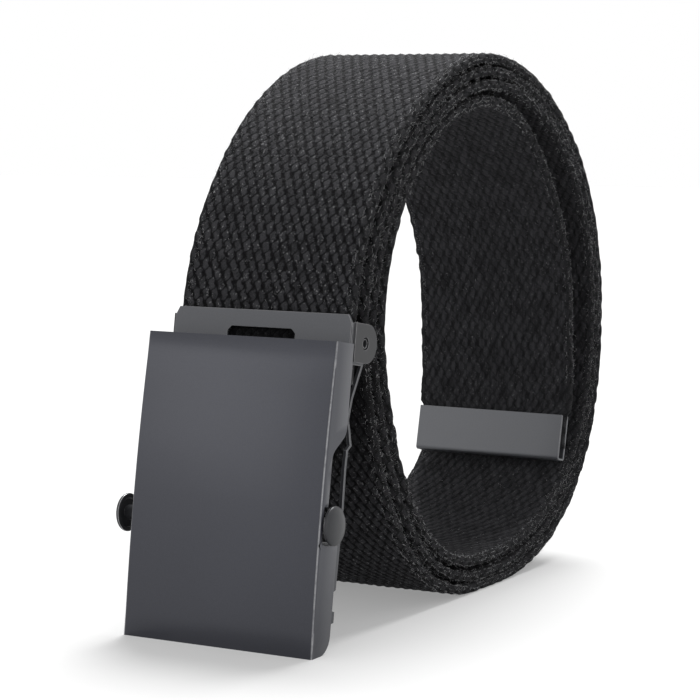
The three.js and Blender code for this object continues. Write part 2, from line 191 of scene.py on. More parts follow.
# Paints, each by its darkest and lightest colour
COVER_PAINT = ((0.026, 0.027, 0.034), (0.041, 0.043, 0.053))
# The frame has the cover's paint, set lighter as painted light
LIT_FRAME_PAINT = ((0.036, 0.037, 0.042), (0.052, 0.054, 0.06))
TIP_PAINT = ((0.047, 0.049, 0.055), (0.069, 0.071, 0.078))
DARK_PAINT = ((0.02, 0.0205, 0.023), (0.034, 0.035, 0.038))
# Bare metal on rubbed edges, lightened further as a painted highlight
BARE_EDGE_AND_HIGHLIGHT = (0.36, 0.36, 0.37)
# Painted shade for the frame's ears
PAINTED_EAR_SHADE = (0.008, 0.008, 0.009)
PAINT_BUMP = 0.01 * MM
PAINT_GRAIN = 5200.0
PAINT_CLOUDS = 22.0
EDGE_WEAR_AND_HIGHLIGHT_GRAIN = 600.0
EAR_EASE = 0.2 * MM

# Studio
FLOOR_SIZE = 6
FLOOR_GREY = (0.3, 0.3, 0.3)
FLOOR_GLOW = 0.28
WHITE = (1, 1, 1)
SUN_POWER = 7.1
SUN_ANGLE = math.radians(30)
SUN_COURSE = Vector((0.13, -0.74, -1.16))


class Signal:
    """A socket in a material's nodes. Arithmetic on signals adds the Math nodes for it."""

    def __init__(self, tree, socket=None):
        self.tree = tree
        self.socket = socket

    def node(self, kind, settings=None, inputs=None, output=0):
        """Adds a node with its settings and the values or links of its inputs, and gives one output."""
        made = self.tree.nodes.new("ShaderNode" + kind)
        for name, value in (settings or {}).items():
            setattr(made, name, value)
        for name, value in (inputs or {}).items():
            if isinstance(value, Signal):
                self.tree.links.new(value.socket, made.inputs[name])
            else:
                made.inputs[name].default_value = value
        return Signal(self.tree, made.outputs[output])

    def math(self, operation, *values):
        """A Math node's result from this signal and any more values."""
        return self.node("Math", {"operation": operation}, dict(enumerate((self, *values))))

    def __add__(self, other):
        return self.math("ADD", other)

    __radd__ = __add__

    def __sub__(self, other):
        return self.math("SUBTRACT", other)

    def __rsub__(self, other):
        return self.node("Math", {"operation": "SUBTRACT"}, {0: other, 1: self})

    def __mul__(self, other):
        return self.math("MULTIPLY", other)

    __rmul__ = __mul__

    def sine(self):
        return self.math("SINE")

    def share(self, axis):
        """One of the three numbers of a place or a vector."""
        return self.node("SeparateXYZ", None, {"Vector": self}, axis)

    def limited(self, low, high, to_low=0.0, to_high=1.0):
        """Goes smoothly from to_low to to_high as the signal goes from low to high."""
        return self.node(
            "MapRange",
            {"interpolation_type": "SMOOTHSTEP"},
            {"Value": self, "From Min": low, "From Max": high, "To Min": to_low, "To Max": to_high},
        )

    def noise(self, scale, detail=2.0, roughness=0.5):
        """Noise read at this place."""
        return self.node(
            "TexNoise", None, {"Vector": self, "Scale": scale, "Detail": detail, "Roughness": roughness}
        )

    def cells(self, scale):
        """A random number for each small cell around this place."""
        colour = self.node("TexVoronoi", None, {"Vector": self, "Scale": scale}, "Color")
        return colour.node("SeparateColor", None, {"Color": colour}, "Red")

    def combed(self, angle, thinness):
        """This place turned by an angle in its plane, then drawn thin across that direction."""
        return self.node(
            "Mapping",
            {"vector_type": "TEXTURE"},
            {"Vector": self, "Rotation": (0, 0, angle), "Scale": (1 / thinness, 1, 1)},
        )

    def between(self, low, high):
        """The colour between two colours, by this signal. The first may be a signal too."""
        low = low if isinstance(low, Signal) else rgba(low)
        return self.node("Mix", {"data_type": "RGBA"}, {"Factor": self, 6: low, 7: rgba(high)}, output=2)


def rgba(colour):
    return (*colour, 1.0)


def material(name, **constants):
    """A material with its constant values set on the shader, and a signal to build its nodes from."""
    made = bpy.data.materials.new(name)
    made.use_nodes = True
    shader = made.node_tree.nodes["Principled BSDF"]
    for socket, value in constants.items():
        shader.inputs[socket.replace("_", " ")].default_value = value
    return made, shader, Signal(made.node_tree)


def link(shader, **signals):
    for socket, signal in signals.items():
        shader.id_data.links.new(signal.socket, shader.inputs[socket.replace("_", " ")])


def cotton(name):
    """Black cotton in a plain weave: yarns with painted shade in the pits between them, worn patches and
    bright specks.

    Its inner face has less contrast and faint streaks along it. The strap is darkened behind the buckle as
    painted shade.
    """
    made, shader, start = material(
        name,
        Sheen_Weight=0.045,
        Sheen_Roughness=0.5,
        Sheen_Tint=rgba(COTTON_SHEEN),
        Specular_IOR_Level=0.05,
    )
    strap = start.node("Attribute", {"attribute_name": "strap"}, output="Vector")
    across, along, face = [strap.share(axis) for axis in "XYZ"]
    drift = strap.noise(DRIFT_GRAIN, 2.0) - 0.5
    nudge = strap.noise(NUDGE_GRAIN, 1.0) - 0.5
    slant = YARN_SLANT * (along * (2 * math.pi / WEFT_PITCH)).sine()
    slanted = across - slant + (DRIFT_ACROSS * drift + NUDGE_ACROSS * nudge)
    rows = along + (DRIFT_ALONG * drift - NUDGE_ALONG * nudge)
    column = slanted * (1 / column_width) + face.limited(-0.2, 0.2, 1.0, 0.0)
    row = rows * (1 / WEFT_PITCH)
    first, second = [(0.5 * part + 0.5).math("FRACT") - 0.5 for part in (column + row, column - row)]
    dome = 1.0 - 2.0 * (first * first + second * second)
    crest = dome.limited(0.38, 0.85)
    strands = strap.combed(STRAND_ANGLE, STRAND_THINNESS).noise(STRAND_GRAIN, 3.0, 0.65).limited(0.33, 0.67)
    patches = strap.cells(PATCH_GRAIN)
    wear = strap.noise(WEAR_GRAIN, 3.0)
    sparkle = strap.cells(SPECK_GRAIN).limited(0.92, 0.99) * wear.limited(0.3, 0.6, 0.4, 1.0)
    outside = face.limited(-1.0, 1.0, INSIDE_CONTRAST, 1.0)
    inside = face.limited(-1.0, -0.2, 1.0, 0.0)
    streaks = strap.combed(0.0, STREAK_THINNESS).noise(STREAK_GRAIN, 2.0).limited(0.35, 0.65)
    # Painted shade: the tone falls from each crest into the pits, whose colour is near black
    tone = crest * (0.25 + 0.5 * strands + 0.5 * patches) + 0.2 * (wear - 0.5)
    tone = 0.45 + (tone - 0.45) * outside
    tone = tone * (1.0 - inside * (0.2 - 0.75 * streaks))
    # Painted shade: the cotton and its specks are darkened behind the buckle and behind its band's slot
    place = start.node("TexCoord", output="Object")
    back = place.share("Y") - buckle_foot.y
    height = place.share("Z")
    depth = back * math.cos(LEAN) - height * math.sin(LEAN)
    behind_band = height.limited(*SHADE_BEHIND_BAND, 1.0, 0.0) * face.limited(0.9, 1.0)
    below = height.limited(*SHADE_HEIGHT, 1.0, 0.0).math("MAXIMUM", behind_band)
    painted_buckle_shade = depth.limited(*SHADE_DEPTH, SHADE, 0.0) * below
    tone = tone * (1.0 - painted_buckle_shade)
    body_colour = tone.limited(-0.05, 1.15).between(COTTON_PIT_SHADE, COTTON_CREST)
    bright = sparkle * (0.1 + 0.9 * crest) * outside * (1.0 - painted_buckle_shade)
    link(shader, Base_Color=bright.between(body_colour, COTTON_SPECK))
    link(shader, Roughness=(0.95 - 0.15 * strands))
    relief = crest * 0.75 + strands * 0.25 + sparkle * 0.3
    bump = start.node("Bump", None, {"Height": relief, "Strength": 1.0, "Distance": COTTON_BUMP})
    link(shader, Normal=bump)
    return made


def lint(name):
    """Loose grey fibres."""
    made, shader, start = material(name, Roughness=0.8, Specular_IOR_Level=0.2)
    shade = start.node("TexCoord", output="Object").noise(LINT_GRAIN)
    link(shader, Base_Color=shade.between(LINT_DARK, LINT_LIGHT))
    return made


def painted_metal(name, paint, roughness, gloss=0.3, wear_and_highlight=1.0, ear_shade=0.0):
    """Satin paint over sheet metal, with a fine grain, slight clouds in its gloss and rubbed edges that are
    lightened further as a painted highlight.

    The colour is darkened by ear_shade outside the frame's walls, on its ears, as painted shade.
    """
    made, shader, start = material(
        name, Metallic=0.35, Specular_IOR_Level=gloss, Coat_Weight=0.08, Coat_Roughness=0.14
    )
    place = start.node("TexCoord", output="Object")
    grain = place.noise(PAINT_GRAIN, 2.0, 0.6)
    cloud = place.noise(PAINT_CLOUDS)
    colour = (0.5 * cloud + 0.5 * grain).limited(0.2, 0.8).between(*paint)
    # Painted shade on the frame's ears, outside its walls
    if ear_shade:
        sideways = place.share("X") - webbing_middle
        beyond = sideways.math("ABSOLUTE").limited(EAR_INSIDE, EAR_INSIDE + EAR_EASE)
        colour = (beyond * ear_shade).between(colour, PAINTED_EAR_SHADE)
    # Rubbed paint and painted highlight: the rounded edges are lightened towards bare metal
    edge = start.node("Attribute", {"attribute_name": "edge"}, output="Fac")
    edge_wear_and_highlight = edge * place.noise(EDGE_WEAR_AND_HIGHLIGHT_GRAIN, 3.0, 0.6).limited(0.3, 0.6, 0.55 * wear_and_highlight, wear_and_highlight)
    link(shader, Base_Color=edge_wear_and_highlight.between(colour, BARE_EDGE_AND_HIGHLIGHT))
    link(shader, Roughness=(roughness + 0.08 * cloud - 0.04 - 0.12 * edge))
    bump = start.node("Bump", None, {"Height": grain, "Strength": 0.1, "Distance": PAINT_BUMP})
    link(shader, Normal=bump)
    return made


def deselect():
    bpy.ops.object.select_all(action="DESELECT")


def piece_from(name, mesh):
    made = bpy.data.objects.new(name, mesh)
    bpy.context.scene.collection.objects.link(made)
    return made


def choose(piece):
    """Makes the piece the only selected and active object."""
    deselect()
    piece.select_set(True)
    bpy.context.view_layer.objects.active = piece


def finish_with(piece, kind, **settings):
    """Adds a modifier and applies it."""
    choose(piece)
    modifier = piece.modifiers.new(kind.title(), kind)
    for name, value in settings.items():
        setattr(modifier, name, value)
    bpy.ops.object.modifier_apply(modifier=modifier.name)


def round_edges(piece, width, sharpness=SHARP):
    """Rounds the edges that turn by more than an angle."""
    finish_with(piece, "BEVEL", width=width, segments=2, limit_method="ANGLE", angle_limit=sharpness)


def smooth(piece, angle):
    choose(piece)
    bpy.ops.object.shade_smooth_by_angle(angle=angle)


def mark_edges(piece, strip=EDGE_STRIP):
    """Marks the narrow faces that round a metal piece's edges, for rubbed paint and a painted highlight
    there.
    """
    marks = []
    for face in piece.data.polygons:
        corners = [piece.data.vertices[i].co for i in face.vertices]
        around = sum((a - b).length for a, b in zip(corners, corners[1:] + corners[:1]))
        narrow = 2 * face.area < strip * around
        marks.append(float(narrow and max(abs(share) for share in face.normal) < EDGE_TURN))
    attribute = piece.data.attributes.new("edge", "FLOAT", "FACE")
    attribute.data.foreach_set("value", marks)


def dress(piece, body, finish, slot, *nodes):
    """Gives a piece its finish, its body and the CAD nodes that it stands for."""
    piece.data.materials.clear()
    piece.data.materials.append(finish)
    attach(piece, body)
    if nodes:
        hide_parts(*nodes)


# The strap, along a middle line that is read from the side of the CAD webbing


def side_outline(node):
    """The ordered corners, in Y and Z, of the flat side that the webbing has at its highest X."""
    mesh = bmesh.new()
    mesh.from_mesh(node.data)
    bmesh.ops.remove_doubles(mesh, verts=mesh.verts, dist=DOUBLES / 2)
    side_x = max(v.co.x for v in mesh.verts)
    flat = {f for f in mesh.faces if all(v.co.x > side_x - TINY for v in f.verts)}
    rim = [e for e in mesh.edges if sum(f in flat for f in e.link_faces) == 1]
    next_to = {}
    for edge in rim:
        a, b = edge.verts
        next_to.setdefault(a, []).append(b)
        next_to.setdefault(b, []).append(a)
    start = rim[0].verts[0]
    loop, before, here = [start], None, start
    while True:
        step = [v for v in next_to[here] if v is not before][0]
        if step is start:
            break
        loop.append(step)
        before, here = here, step
    points = np.array([(v.co.y, v.co.z) for v in loop])
    mesh.free()
    return points


def middle_line(points):
    """Points midway between the two long sides of the outline, from the tip to the clamp."""
    turned = [np.diff(np.roll(points, -i, axis=0)[:3], axis=0) for i in range(len(points))]
    corner = [1 - a @ b / (np.linalg.norm(a) * np.linalg.norm(b)) for a, b in turned]
    four = sorted(np.argsort(corner)[-4:] + 1)
    gaps = np.diff([*four, four[0] + len(points)])
    first = four[int(np.argmax(gaps))] % len(points)
    rolled = np.roll(points, -first, axis=0)
    half = len(points) // 2
    one, other = rolled[:half], rolled[half:][::-1]
    line = (one + other) / 2
    middle = points.mean(0)
    if np.linalg.norm(line[0] - middle) > np.linalg.norm(line[-1] - middle):
        line = line[::-1]
    return line


def spaced(points, step):
    """The points with more between them wherever they stand further apart than a step."""
    out = [points[0]]
    for a, b in zip(points, points[1:]):
        parts = max(1, round(float(np.linalg.norm(b - a)) / step))
        out += [a + (b - a) * (i + 1) / parts for i in range(parts)]
    return np.array(out)


def spline_slopes(places, values):
    """Slopes at the places of the natural cubic spline through the values."""
    count = len(places)
    gap = np.diff(places)
    system = np.zeros((count, count))
    right = np.zeros((count, values.shape[1]))
    rise = np.diff(values, axis=0) / gap[:, None]
    system[0, :2] = 2, 1
    right[0] = 3 * rise[0]
    system[-1, -2:] = 1, 2
    right[-1] = 3 * rise[-1]
    for i in range(1, count - 1):
        system[i, i - 1 : i + 2] = gap[i], 2 * (gap[i - 1] + gap[i]), gap[i - 1]
        right[i] = 3 * (gap[i] * rise[i - 1] + gap[i - 1] * rise[i])
    return np.linalg.solve(system, right)


def along_spline(places, values, slopes, at):
    """Points and directions on the spline at some places."""
    cell = np.clip(np.searchsorted(places, at, side="right") - 1, 0, len(places) - 2)
    gap = (places[cell + 1] - places[cell])[:, None]
    t = (at - places[cell])[:, None] / gap
    a, b = values[cell], values[cell + 1]
    da, db = slopes[cell] * gap, slopes[cell + 1] * gap
    point = (2 * t**3 - 3 * t**2 + 1) * a + (t**3 - 2 * t**2 + t) * da
    point += (3 * t**2 - 2 * t**3) * b + (t**3 - t**2) * db
    course = (6 * t**2 - 6 * t) * (a - b) + (3 * t**2 - 4 * t + 1) * da + (3 * t**2 - 2 * t) * db
    return point, course / np.linalg.norm(course, axis=1)[:, None]


def wandering(places, pitch, size, seed):
    """Slow seeded wandering along the strap."""
    knots = np.arange(0, places[-1] + 2 * pitch, pitch)
    values = np.random.default_rng(seed).normal(0, size, len(knots))
    cell = np.clip((places / pitch).astype(int), 0, len(knots) - 2)
    t = places / pitch - cell
    ease = t * t * (3 - 2 * t)
    return values[cell] * (1 - ease) + values[cell + 1] * ease


def weave_sections():
    """The strap's section at every step along it: places in X, Y and Z, and across, along and face."""
    cad_line = middle_line(side_outline(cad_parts["webbing"]))
    lead = cad_line[0] - cad_line[1]
    start = cad_line[0] + lead / np.linalg.norm(lead) * REACH_INTO_TIP
    knots = spaced(np.vstack([start, cad_line]), LINE_STEP)
    places = np.concatenate([[0], np.cumsum(np.linalg.norm(np.diff(knots, axis=0), axis=1))])
    slopes = spline_slopes(places, knots)
    rows = int(places[-1] / WEFT_PITCH)
    count = rows * STEPS_PER_ROW + 1
    along = np.linspace(0, places[-1], count)
    row_phase = np.arange(count) / STEPS_PER_ROW
    point, course = along_spline(places, knots, slopes, along)
    outward = np.stack([course[:, 1], -course[:, 0]], axis=1)
    if np.sum(outward * (point - point.mean(0))) < 0:
        outward = -outward

    half = WEB_THICKNESS / 2
    face_half = webbing_width / 2 - SELVEDGE
    grid = np.linspace(-face_half, face_half, FACE_COUNT)
    chance = np.random.default_rng(WEAVE_SEED)
    row_at = np.round(row_phase).astype(int)
    slant = YARN_SLANT * np.sin(2 * np.pi * row_phase)
    edge_ease = np.clip((face_half - np.abs(grid)) / (2 * column_width), 0, 1)
    sideways = wandering(along, SWAY_PITCH, SWAY, SWAY_SEED)
    wide = 1 + wandering(along, WIDENING_PITCH, WIDENING, WIDENING_SEED)
    height = chance.normal(1, CREST_SPREAD, (rows + 2, FACE_COUNT))[row_at]
    in_tip = np.clip((REACH_INTO_TIP + NARROWING_EASE / 2 - along) / NARROWING_EASE, 0, 1)
    wide = wide * (1 - in_tip * NARROWING_IN_TIP / (webbing_width / 2))

    def scales(shift):
        """How high the yarns stand: 1 in the middle of each crossing and -1 in the pits."""
        column = (grid / column_width + shift)[None, :]
        row = row_phase[:, None]
        shares = 0.5 * (column + row), 0.5 * (column - row)
        return 1 - 4 * sum((share - np.round(share)) ** 2 for share in shares)

    drift = chance.normal(0, YARN_SPREAD, (rows + 2, FACE_COUNT))[row_at]

    def face_points(sign):
        lift = scales(0 if sign > 0 else 1)
        lift = np.where(lift > 0, lift, PIT_SHARE * lift)
        deep = WEAVE_DEPTH if sign > 0 else INNER_WEAVE_DEPTH
        depth = half + CREST_RISE - deep * (1 - lift * height) / (1 + PIT_SHARE)
        u = grid[None, :] + (slant[:, None] + drift) * edge_ease[None, :]
        return u, sign * depth

    outer_u, outer_w = face_points(1)
    inner_u, inner_w = face_points(-1)
    angles = np.radians(np.linspace(90, -90, SELVEDGE_STEPS + 1)[1:-1])
    out_share = np.cos(angles) ** SELVEDGE_SQUARENESS
    up_share = np.sign(angles) * np.abs(np.sin(angles)) ** SELVEDGE_SQUARENESS

    def selvedge(side):
        wave_phase = np.pi * row_phase + (0 if side > 0 else np.pi)
        rough = chance.normal(0, SELVEDGE_SPREAD, (rows + 2, len(angles)))[row_at]
        reach = SELVEDGE_REACH + SELVEDGE_SWELL * np.cos(wave_phase)
        out_u = side * (face_half + reach[:, None] * out_share[None, :] + rough)
        level = half * SELVEDGE_FULLNESS
        return out_u, np.tile(level * up_share, (count, 1))

    right_u, right_w = selvedge(1)
    left_u, left_w = selvedge(-1)
    u = np.hstack([outer_u, right_u, inner_u[:, ::-1], left_u[:, ::-1]])
    w = np.hstack([outer_w, right_w, inner_w[:, ::-1], left_w[:, ::-1]])
    flat_face = np.ones(FACE_COUNT)
    face = np.concatenate([flat_face, np.sin(angles), -flat_face, np.sin(angles)[::-1]])
    x = webbing_middle + sideways[:, None] + u * wide[:, None]
    y = point[:, :1] + outward[:, :1] * w
    z = np.maximum(point[:, 1:] + outward[:, 1:] * w, FLOOR_GAP)
    woven_length = np.repeat((row_phase * WEFT_PITCH)[:, None], u.shape[1], 1)
    place = np.stack([x, y, z], axis=2)
    strap = np.stack([u, woven_length, np.tile(face, (count, 1))], axis=2)
    return place, strap


def weave_stretch(name, place, strap):
    """One stretch of the strap as a closed mesh: rings joined by four-sided faces, and capped at its ends."""
    rings, sides = place.shape[:2]
    ring = np.arange(rings - 1)[:, None] * sides
    here = np.arange(sides)[None, :]
    beside = (here + 1) % sides
    corners = [ring + here, ring + sides + here, ring + sides + beside, ring + beside]
    walls = np.stack(corners, axis=2).reshape(-1, 4)
    upper = np.arange(-(SELVEDGE_STEPS // 2), FACE_COUNT + SELVEDGE_STEPS // 2)
    lower = 2 * FACE_COUNT + SELVEDGE_STEPS - 2 - upper
    cap = np.stack([upper[:-1], upper[1:], lower[1:], lower[:-1]], axis=1) % sides
    faces = walls.tolist()
    for base, quads in ((0, cap), ((rings - 1) * sides, cap[:, ::-1])):
        faces += [list(dict.fromkeys(quad)) for quad in (quads + base).tolist()]
    mesh = bpy.data.meshes.new(name)
    mesh.from_pydata(place.reshape(-1, 3).tolist(), [], faces)
    attribute = mesh.attributes.new("strap", "FLOAT_VECTOR", "POINT")
    attribute.data.foreach_set("vector", strap.reshape(-1).astype(np.float32))
    mesh.polygons.foreach_set("use_smooth", [True] * len(mesh.polygons))
    mesh.update()
    return mesh


def add_webbing(finish):
    """The woven strap, in stretches that meet ring to ring. Gives its places, for the lint to stand on."""
    place, strap = weave_sections()
    rings = place.shape[0]
    joints = [round(rings * i / STRETCHES / STEPS_PER_ROW) * STEPS_PER_ROW for i in range(STRETCHES + 1)]
    joints[-1] = rings - 1
    for i, (first, last) in enumerate(zip(joints, joints[1:])):
        name = f"strap_stretch_{i + 1}"
        piece = piece_from(name, weave_stretch(name, place[first : last + 1], strap[first : last + 1]))
        dress(piece, "belt", finish, "webbing", "webbing")
    return place


def add_lint(name, seed, finish, place):
    """Short loose fibres that stand off the strap, most of them along its two selvedges."""
    chance = np.random.default_rng(seed)
    rings, sides = place.shape[:2]
    half = sides // 2
    one_edge = np.arange(half - SELVEDGE_STEPS - 1, half + 1)
    other_edge = np.arange(sides - SELVEDGE_STEPS - 1, sides)
    edge_columns = np.concatenate([one_edge, other_edge, [0, 1, 2]])
    count = LINT_COUNT
    at_edge = chance.random(count) < LINT_AT_SELVEDGE
    ring = chance.integers(LINT_FIRST_RING, rings - LINT_LAST_RINGS, count)
    column = np.where(at_edge, chance.choice(edge_columns, count), chance.integers(0, sides, count))
    root = place[ring, column]
    away = root - place.mean(axis=1)[ring]
    onward = place[ring + 2, column] - root
    onward /= np.linalg.norm(onward, axis=1)[:, None]
    skin = np.cross(place[ring, (column + 1) % sides] - place[ring, column - 1], onward)
    skin *= np.sign(np.sum(skin * away, axis=1))[:, None]
    skin /= np.linalg.norm(skin, axis=1)[:, None]
    side = np.cross(skin, onward)
    angle = chance.uniform(0, 2 * np.pi, count)
    lie = np.cos(angle)[:, None] * onward + np.sin(angle)[:, None] * side
    length = chance.gamma(LINT_LENGTH_SHAPE, LINT_LENGTH_SCALE, count) * MM * np.where(at_edge, 1.25, 0.9)
    rise = chance.uniform(0.1, 0.7, count) * np.where(at_edge, 1.0, 0.5)
    bend = chance.normal(0, LINT_BEND, (count, 3))
    knee = root + length[:, None] * (0.5 * lie + rise[:, None] * skin)
    end = knee + length[:, None] * (0.5 * lie + 0.3 * bend - 0.15 * rise[:, None] * skin)
    knee[:, 2] = np.maximum(knee[:, 2], LINT_FLOOR_GAP)
    end[:, 2] = np.maximum(end[:, 2], LINT_FLOOR_GAP)
    turn = np.radians([0, 120, 240])
    spoke = np.cos(turn)[None, :, None] * side[:, None, :] + np.sin(turn)[None, :, None] * skin[:, None, :]
    foot_ring = (root - LINT_FOOT_DEPTH * skin)[:, None, :] + LINT_RADIUS * spoke
    knee_ring = knee[:, None, :] + 0.8 * LINT_RADIUS * spoke
    points = np.concatenate([foot_ring, knee_ring, end[:, None, :]], axis=1)
    fibre = [(2, 1, 0), (0, 1, 4, 3), (1, 2, 5, 4), (2, 0, 3, 5), (3, 4, 6), (4, 5, 6), (5, 3, 6)]
    corners = points.shape[1]
    faces = [tuple(corners * i + corner for corner in face) for i in range(count) for face in fibre]
    mesh = bpy.data.meshes.new(name)
    mesh.from_pydata(points.reshape(-1, 3).tolist(), [], faces)
    mesh.update()
    piece = piece_from(name, mesh)
    choose(piece)
    bpy.ops.object.mode_set(mode="EDIT")
    bpy.ops.mesh.select_all(action="SELECT")
    bpy.ops.mesh.normals_make_consistent(inside=False)
    close_edit()
    dress(piece, "belt", finish, "webbing")


# Metal pieces


def new_primitive(adder, name, **settings):
    """A primitive with nothing else selected."""
    deselect()
    getattr(bpy.ops.mesh, adder)(**settings)
    made = bpy.context.object
    made.name = name
    return made


def edit(piece, choose_kind, test):
    """Opens a piece's mesh with the vertices, edges or faces selected that pass a test."""
    choose(piece)
    bpy.ops.object.mode_set(mode="EDIT")
    bpy.ops.mesh.select_mode(type=choose_kind)
    bpy.ops.mesh.select_all(action="DESELECT")
    mesh = bmesh.from_edit_mesh(piece.data)
    kinds = {"VERT": mesh.verts, "EDGE": mesh.edges, "FACE": mesh.faces}
    for element in kinds[choose_kind]:
        if test(element):
            element.select_set(True)
    bmesh.update_edit_mesh(piece.data)


def close_edit():
    bpy.ops.object.mode_set(mode="OBJECT")


def cut_at(piece, place, normal, **keep):
    """Cuts all of a piece's faces with a plane."""
    edit(piece, "FACE", lambda face: True)
    bpy.ops.mesh.bisect(plane_co=place, plane_no=normal, **keep)
    close_edit()


def into_buckle(piece, sideways=0.0):
    """Leans a piece that was made upright and sets it where the CAD buckle stands."""
    piece.location = buckle_foot + Vector((sideways, 0, 0))
    piece.rotation_euler = (-LEAN, 0, 0)
    choose(piece)
    bpy.ops.object.transform_apply(location=True, rotation=True, scale=True)


def middle_of(points):
    total = Vector((0, 0, 0))
    for point in points:
        total += point
    return total / len(points)


def add_cover(finish):
    """The cover: a crowned plate with a folded flange at each side, notched for the bar."""
    low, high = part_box("cover")
    width = high.x - low.x
    depth = FLANGE_DEPTH
    piece = new_primitive(
        "primitive_cube_add",
        "buckle_cover",
        size=1,
        location=(0, depth / 2, COVER_HEIGHT / 2),
        scale=(width, depth, COVER_HEIGHT),
    )
    choose(piece)
    bpy.ops.object.transform_apply(location=True, rotation=True, scale=True)
    edit(piece, "FACE", lambda face: face.normal.y > 0.5 or abs(face.normal.z) > 0.5)
    bpy.ops.mesh.delete(type="FACE")
    close_edit()
    for level in range(1, COVER_LEVELS):
        cut_at(piece, (0, 0, COVER_HEIGHT * level / COVER_LEVELS), (0, 0, 1))
    for level in (NOTCH_BOTTOM, NOTCH_STEP, NOTCH_TOP, NOTCH_TOP + NOTCH_SLOPE):
        cut_at(piece, (0, 0, level), (0, 0, 1))
    for place in (NOTCH_STRIP, NOTCH_STEP_DEPTH):
        cut_at(piece, (0, place, 0), (0, 1, 0))
    slope = Vector((0, -NOTCH_SLOPE, depth - NOTCH_STRIP)).normalized()
    cut_at(piece, (0, NOTCH_STRIP, NOTCH_TOP), slope)
    foot = Vector((0, -math.sin(LEAN), math.cos(LEAN)))
    cut_at(piece, (0, 0, 0), foot, clear_inner=True)

    def in_notch(face):
        middle = middle_of([v.co for v in face.verts])
        if abs(middle.x) < width / 2 - TINY:
            return False
        if NOTCH_BOTTOM < middle.z < NOTCH_STEP and middle.y > NOTCH_STEP_DEPTH:
            return True
        below_slope = slope.dot(middle - Vector((middle.x, NOTCH_STRIP, NOTCH_TOP))) < 0
        return middle.z > NOTCH_BOTTOM and middle.y > NOTCH_STRIP and below_slope

    edit(piece, "FACE", in_notch)
    bpy.ops.mesh.delete(type="FACE")
    close_edit()

    mesh = piece.data
    for vertex in mesh.vertices:
        if vertex.co.y < TINY:
            share = vertex.co.z / COVER_HEIGHT
            vertex.co.y -= 4 * COVER_CROWN * share * (1 - share)

    def at_corner(vertex, y, z):
        return abs(vertex.co.y - y) < 2 * TINY and abs(vertex.co.z - z) < 2 * TINY

    edit(piece, "VERT", lambda v: at_corner(v, depth, depth * math.tan(LEAN)))
    bpy.ops.mesh.bevel(offset=FLANGE_HEEL, segments=6, affect="VERTICES")
    close_edit()
    notch_corners = (
        (depth, NOTCH_TOP + NOTCH_SLOPE),
        (NOTCH_STRIP, NOTCH_TOP),
        (NOTCH_STEP_DEPTH, NOTCH_BOTTOM),
    )
    for corner in notch_corners:
        edit(piece, "VERT", lambda v, corner=corner: at_corner(v, *corner))
        bpy.ops.mesh.bevel(offset=NOTCH_ROUND, segments=4, affect="VERTICES")
        close_edit()

    def on_fold(edge):
        at_side = all(abs(abs(v.co.x) - width / 2) < TINY and v.co.y < TINY for v in edge.verts)
        faces = edge.link_faces
        return at_side and len(faces) == 2 and abs(faces[0].normal.dot(faces[1].normal)) < 0.5

    edit(piece, "EDGE", on_fold)
    bpy.ops.mesh.bevel(offset=COVER_FOLD, segments=4, affect="EDGES")
    close_edit()
    finish_with(piece, "SOLIDIFY", thickness=COVER_SHEET, offset=-1, use_even_offset=True)
    round_edges(piece, EDGE_ROUND)
    smooth(piece, SMOOTH_METAL)
    mark_edges(piece)
    into_buckle(piece, cover_middle - webbing_middle)
    dress(piece, "belt", finish, "cover_metal", "cover")


def add_bar(finish):
    """The lock bar: a rod between two low domed knobs, dished on their inner sides."""
    parts = []
    rod = new_primitive(
        "primitive_cylinder_add",
        "bar_rod",
        vertices=ROUND_SIDES // 2,
        radius=BAR_RADIUS,
        depth=2 * KNOB_PLACE - KNOB_RIM,
        end_fill_type="NGON",
    )
    parts.append(rod)
    for side in (-1, 1):
        knob = new_primitive(
            "primitive_cylinder_add",
            "bar_knob",
            vertices=ROUND_SIDES,
            radius=KNOB_RADIUS,
            depth=KNOB_RIM,
            location=(0, 0, side * (KNOB_PLACE - KNOB_RIM / 2)),
            end_fill_type="NGON",
        )
        choose(knob)
        bpy.ops.object.transform_apply(location=True, rotation=True, scale=True)
        edit(knob, "FACE", lambda face: face.normal.z * side > 0.9)
        for i in range(1, KNOB_DOME_STEPS + 1):
            before, angle = [math.pi / 2 * step / (KNOB_DOME_STEPS + 1) for step in (i - 1, i)]
            rise = KNOB_DOME * (math.sin(angle) - math.sin(before))
            bpy.ops.mesh.inset(thickness=KNOB_RADIUS * (math.cos(before) - math.cos(angle)), depth=0)
            bpy.ops.transform.translate(value=(0, 0, side * rise))
        close_edit()
        edit(knob, "FACE", lambda face: face.normal.z * side < -0.9)
        bpy.ops.mesh.inset(thickness=KNOB_LIP, depth=0)
        bpy.ops.mesh.inset(thickness=KNOB_DISH, depth=0)
        bpy.ops.transform.translate(value=(0, 0, side * KNOB_DISH))
        close_edit()
        parts.append(knob)
    deselect()
    for part in parts:
        part.select_set(True)
    bpy.context.view_layer.objects.active = rod
    bpy.ops.object.join()
    rod.name = "lock_bar_round"
    rod.rotation_euler = (0, math.pi / 2 - BAR_TILT, 0)
    rod.location = (-BAR_SHIFT, BAR_DEPTH, BAR_LEVEL)
    choose(rod)
    bpy.ops.object.transform_apply(location=True, rotation=True, scale=True)
    round_edges(rod, KNOB_EDGE_ROUND)
    smooth(rod, SMOOTH_ROUND)
    mark_edges(rod, FINE_STRIP)
    into_buckle(rod)
    dress(rod, "bar", finish, "small_metal", "lock_bar")


